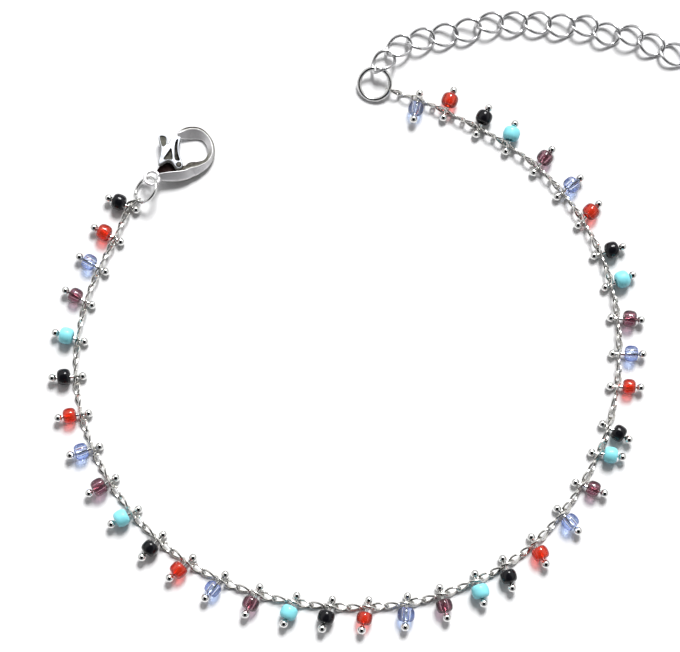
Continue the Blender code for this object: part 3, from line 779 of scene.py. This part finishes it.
def flat_fill(loops, height, shade_amount=0.0):
    """Triangles inside the first outline and outside the others, at one height."""
    shape = bmesh.new()
    for loop in loops:
        verts = [shape.verts.new((x, y, height)) for x, y in loop]
        for first, second in zip(verts, verts[1:] + verts[:1]):
            shape.edges.new((first, second))
    bmesh.ops.triangle_fill(shape, use_beauty=True, edges=shape.edges)
    shape.verts.index_update()
    points = np.array([vert.co for vert in shape.verts])
    faces = [[vert.index for vert in face.verts] for face in shape.faces]
    shape.free()
    return points, faces, np.full(len(points), shade_amount)


def solid_from(shapes):
    """One closed surface, facing out, from parts in millimetres that share their edges, and its painted
    shade.
    """
    shape = bmesh.new()
    layer = shape.verts.layers.float.new("tarnish")
    for points, faces, shade_amount in shapes:
        verts = [shape.verts.new(point) for point in points]
        for vert, value in zip(verts, shade_amount):
            vert[layer] = value
        for face in faces:
            shape.faces.new([verts[corner] for corner in face])
    bmesh.ops.remove_doubles(shape, verts=shape.verts, dist=MERGE_DISTANCE)
    bmesh.ops.recalc_face_normals(shape, faces=shape.faces)
    shape.verts.index_update()
    points = np.array([vert.co for vert in shape.verts]) * MM
    shade_amount = np.array([vert[layer] for vert in shape.verts])
    faces = [[vert.index for vert in face.verts] for face in shape.faces]
    shape.free()
    return facing_out(points, faces), shade_amount


def lever_shape():
    """The lever: a plate with softened edges, sunk wells, and a bore for its post."""
    edge = cut_corners(LEVER)
    bore = round_hole(PIVOT, LEVER_HOLE, LEVER_HOLE_SIDES)
    soft = LEVER_SOFT
    # Rows of outline, height and painted shade: the side and the rim are painted darker
    outer = [
        (inset(edge, soft), LEVER_BOTTOM, 0.0),
        (inset(edge, soft * 0.3), LEVER_BOTTOM + soft * 0.3, 0.0),
        (edge, LEVER_BOTTOM + soft, LEVER_SIDE_SHADE),
        (edge, LEVER_TOP - soft * 1.5, LEVER_SIDE_SHADE),
        (inset(edge, soft * 0.35), LEVER_TOP - soft * 0.4, LEVER_RIM_SHADE),
        (inset(edge, soft * 1.2), LEVER_TOP, 0.0),
    ]
    low_shade, high_shade = LEVER_HOLE_SHADE
    parts = [wall_rows(outer), wall_rows([(bore, LEVER_BOTTOM, low_shade), (bore, LEVER_TOP, high_shade)]),
             flat_fill([outer[0][0], bore], LEVER_BOTTOM)]
    lips = []
    for outline, floor_height, shade_amount in LEVER_WELLS:
        well = cut_corners(outline)
        deep = LEVER_TOP - floor_height
        # Painted shade down the well's wall and on its floor, as shade in a recess
        lip = [
            (inset(well, -0.03), LEVER_TOP, 0.0),
            (inset(well, 0.01), LEVER_TOP - deep * 0.1, shade_amount * 0.5),
            (inset(well, 0.04), LEVER_TOP - deep * 0.4, shade_amount),
            (inset(well, 0.08), floor_height, shade_amount),
        ]
        lips.append(lip[0][0])
        parts += [wall_rows(lip), flat_fill([lip[-1][0]], floor_height, shade_amount)]
    parts.append(flat_fill([outer[-1][0], bore, *lips], LEVER_TOP))
    return solid_from(parts)


def cheek_shape():
    """The plate under the lever; its top is painted near-black as the shade in the pocket beside it."""
    edge = cut_corners(CHEEK)
    soft = CHEEK_SOFT
    # Painted shade on the upper edge, and near-black painted shade on the top as the pocket's shade
    rows = [(inset(edge, soft), CHEEK_BOTTOM, 0.0), (edge, CHEEK_BOTTOM + soft, 0.0),
            (edge, CHEEK_TOP - soft, CHEEK_EDGE_SHADE), (inset(edge, soft), CHEEK_TOP, POCKET_SHADE)]
    return solid_from([wall_rows(rows), flat_fill([rows[0][0]], CHEEK_BOTTOM),
                       flat_fill([rows[-1][0]], CHEEK_TOP, POCKET_SHADE)])


def boss_shape():
    """The raised part of the body that goes round the front of the lever's round end."""
    angle = np.radians(np.linspace(*BOSS_TURN_DEG, BOSS_STEPS))
    reach = np.repeat(BOSS_RADII, BOSS_STEPS)[:, None]
    angle = np.concatenate((angle, angle[::-1]))
    edge = cut_corners(PIVOT + reach * np.stack((np.cos(angle), np.sin(angle)), axis=-1), 2)
    # Painted shade on the boss's upper edge and on its top
    rows = [(edge, BOSS_BOTTOM, 0.0), (edge, BOSS_TOP - 0.06, BOSS_SHADE),
            (inset(edge, 0.05), BOSS_TOP, BOSS_SHADE)]
    return solid_from([wall_rows(rows), flat_fill([edge], BOSS_BOTTOM),
                       flat_fill([rows[-1][0]], BOSS_TOP, BOSS_SHADE)])


def post_shape():
    """The lever's post with a low domed head."""
    profile = np.array(((CHEEK_BOTTOM, POST_RADIUS), (POST_TOP - 0.12, POST_RADIUS),
                        (POST_TOP - 0.03, POST_RADIUS * 0.9), (POST_TOP, POST_RADIUS * 0.6)))
    sections = spun(profile, POST_SIDES)
    upright = np.stack((sections[..., 1] + PIVOT[0], sections[..., 2] + PIVOT[1], sections[..., 0]), axis=-1)
    surface = capped(upright * MM)
    # The whole post carries painted shade
    return surface, np.full(len(surface[0]), POST_SHADE)


def eye_shape():
    """The clasp's eye: a round bar bent in a circle about the middle of its hole."""
    angle = 2 * math.pi * np.arange(EYE_STEPS) / EYE_STEPS
    circle = np.stack((np.cos(angle), np.sin(angle), np.zeros(EYE_STEPS)), axis=-1)
    sections = tube((EYE_HOLE + EYE_BAR) * circle, EYE_BAR, EYE_SIDES, True) + (EYE_X, 0, 0)
    surface = wrapped(sections * MM)
    return surface, np.zeros(len(surface[0]))


def clasp(looks):
    place = clasp_place()
    body = Piece()
    for shape, shade_amount in (hook_shape(), cheek_shape(), boss_shape(), post_shape(), eye_shape()):
        body.add(shape, place, tarnish=shade_amount)
    body.build("clasp_hook", looks["clasp"], "anklet", "clasp_silver", ["clasp_body"], SHARP_CLASP_DEG)
    lever = Piece()
    shape, shade_amount = lever_shape()
    lever.add(shape, place, tarnish=shade_amount)
    lever.build("clasp_gate", looks["lever"], "lever", "lever_silver", ["clasp_lever"], SHARP_CLASP_DEG)


# ---- Floor, light and camera ----

def floor():
    angle = 2 * math.pi * np.arange(FLOOR_SIDES) / FLOOR_SIDES
    rings = [np.stack((r * np.cos(angle), r * np.sin(angle)), axis=-1) for r in FLOOR_RADII]
    (points, faces), _ = solid_from([wall_rows([(ring, -FLOOR_DROP, 0.0) for ring in rings]),
                                     flat_fill([rings[-1]], -FLOOR_DROP)])
    mesh = bpy.data.meshes.new("floor")
    mesh.from_pydata((points / MM).tolist(), [], faces)
    made, graph = new_material("floor_white")
    grain = graph.noise(graph.node("TexCoord").outputs["Object"], 300.0, 3.0)
    shader = graph.node("BsdfPrincipled", values={
        "Base Color": graph.mix(grain, rgb(0.88, 0.88, 0.885), rgb(0.90, 0.90, 0.905)),
        "Roughness": 1.0,
        "Specular IOR Level": 0.0,
    })
    graph.put(graph.output.inputs["Surface"], shader.outputs[0])
    mesh.materials.append(made)
    item = bpy.data.objects.new("floor", mesh)
    item.location = (0, 0, FLOOR_DROP - FLOOR_CLEARANCE)
    bpy.context.scene.collection.objects.link(item)


def light():
    """A low sun from behind the loop, and a bright sky overhead that falls off towards the horizon."""
    lamp = bpy.data.lights.new("sun", "SUN")
    lamp.energy = SUN_STRENGTH
    lamp.angle = SUN_SPREAD
    item = bpy.data.objects.new("sun", lamp)
    item.rotation_euler = Vector(SUN_FROM).to_track_quat("Z", "Y").to_euler()
    bpy.context.scene.collection.objects.link(item)

    world = bpy.data.worlds.new("studio")
    bpy.context.scene.world = world
    graph = Graph(world, "ShaderNodeOutputWorld")
    way = graph.node("TexCoord").outputs["Generated"]
    up = graph.part(way, 2)
    back = graph.part(way, 1)
    sky = up.step(0.08, 0.34)
    front = (0 - back).step(0.10, 0.75)
    spot = (up * math.sin(DARK_ELEVATION) - back * math.cos(DARK_ELEVATION)).step(0.60, 0.84)
    level = (0.06 + sky * 0.86 - sky * front * 0.42) * (1 - spot) + 0.004
    spread = Value(graph, graph.node("LightPath").outputs["Is Diffuse Ray"])
    tint = graph.mix(level, rgb(0.92, 0.92, 1.0), rgb(1.0, 1.0, 0.99))
    shader = graph.node("Background", values={"Color": tint, "Strength": level * (1 - spread * 0.24)})
    graph.put(graph.output.inputs["Surface"], shader.outputs[0])


def camera():
    aim = Vector(CAMERA_AIM_MM) * MM
    lens = bpy.data.cameras.new("camera")
    lens.lens = LENS
    lens.sensor_width = FILM_WIDTH
    lens.clip_start = 0.01
    item = bpy.data.objects.new("camera", lens)
    item.location = aim + CAMERA_AWAY * Vector((0, -math.cos(CAMERA_LIFT), math.sin(CAMERA_LIFT)))
    item.rotation_euler = (math.pi / 2 - CAMERA_LIFT, 0, 0)
    bpy.context.scene.collection.objects.link(item)
    bpy.context.scene.camera = item
    bpy.context.scene.view_settings.view_transform = "Standard"


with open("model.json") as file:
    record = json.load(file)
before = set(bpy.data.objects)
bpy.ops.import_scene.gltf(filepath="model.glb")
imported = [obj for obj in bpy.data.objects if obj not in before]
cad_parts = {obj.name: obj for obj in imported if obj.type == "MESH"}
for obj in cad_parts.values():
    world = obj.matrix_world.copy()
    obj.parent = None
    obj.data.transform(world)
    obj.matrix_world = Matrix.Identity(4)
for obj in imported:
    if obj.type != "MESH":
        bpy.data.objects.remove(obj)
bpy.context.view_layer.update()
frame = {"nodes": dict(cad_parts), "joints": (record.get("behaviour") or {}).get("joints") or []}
nodes = frame["nodes"]

camera()
light()
floor()
looks = {
    "wire": silver("wire_silver", (0.80, 0.80, 0.78), 0.06, 0.3),
    "chain": silver("chain_silver", (0.68, 0.67, 0.64), 0.16, 0.5),
    "ring": silver("ring_silver", (0.74, 0.74, 0.73), 0.15, 0.4),
    "curb": silver("curb_silver", (0.57, 0.57, 0.575), 0.24, 0.5),
    "clasp": silver("clasp_silver", (0.83, 0.82, 0.83), 0.45, 0.4),
    "lever": silver("lever_silver", (0.60, 0.62, 0.66), 0.62, 0.3, (0.035, 0.034, 0.03)),
    "black": opaque_glass("black_glass", (0.002, 0.002, 0.003), (0.006, 0.006, 0.008), 0.08, 0.0, 1.36),
    "turquoise": opaque_glass("turquoise_glass", (0.09, 0.38, 0.50), (0.26, 0.76, 0.84), 0.38, 0.12, 1.42),
    "red": clear_glass("red_glass", (0.24, 0.004, 0.003), (0.80, 0.075, 0.03), (0.70, 0.42, 0.43), 0.35),
    "blue": clear_glass("blue_glass", (0.035, 0.09, 0.46), (0.72, 0.78, 0.92), (0.38, 0.45, 0.54), 0.0),
    "purple": clear_glass("purple_glass", (0.05, 0.008, 0.014), (0.44, 0.22, 0.27), (0.38, 0.35, 0.40), 0.05),
}
places = add_drops(looks)
end_place, end_radius = ring_place("end_ring", END_WIRE)
clasp_ring_place, clasp_ring_radius = ring_place("clasp_ring", CLASP_WIRE)
crossings = [place @ Vector((CHAIN_CROSSING, 0, 0)) for place in places]
fine_chain(looks["chain"], crossings,
           nearest_on_ring(clasp_ring_place, clasp_ring_radius, crossings[0]),
           nearest_on_ring(end_place, end_radius, crossings[-1]))
jump_ring("end_ring", looks["ring"], end_place, end_radius, END_WIRE)
jump_ring("clasp_ring", looks["ring"], clasp_ring_place, clasp_ring_radius, CLASP_WIRE)
extender(looks["curb"])
clasp(looks)
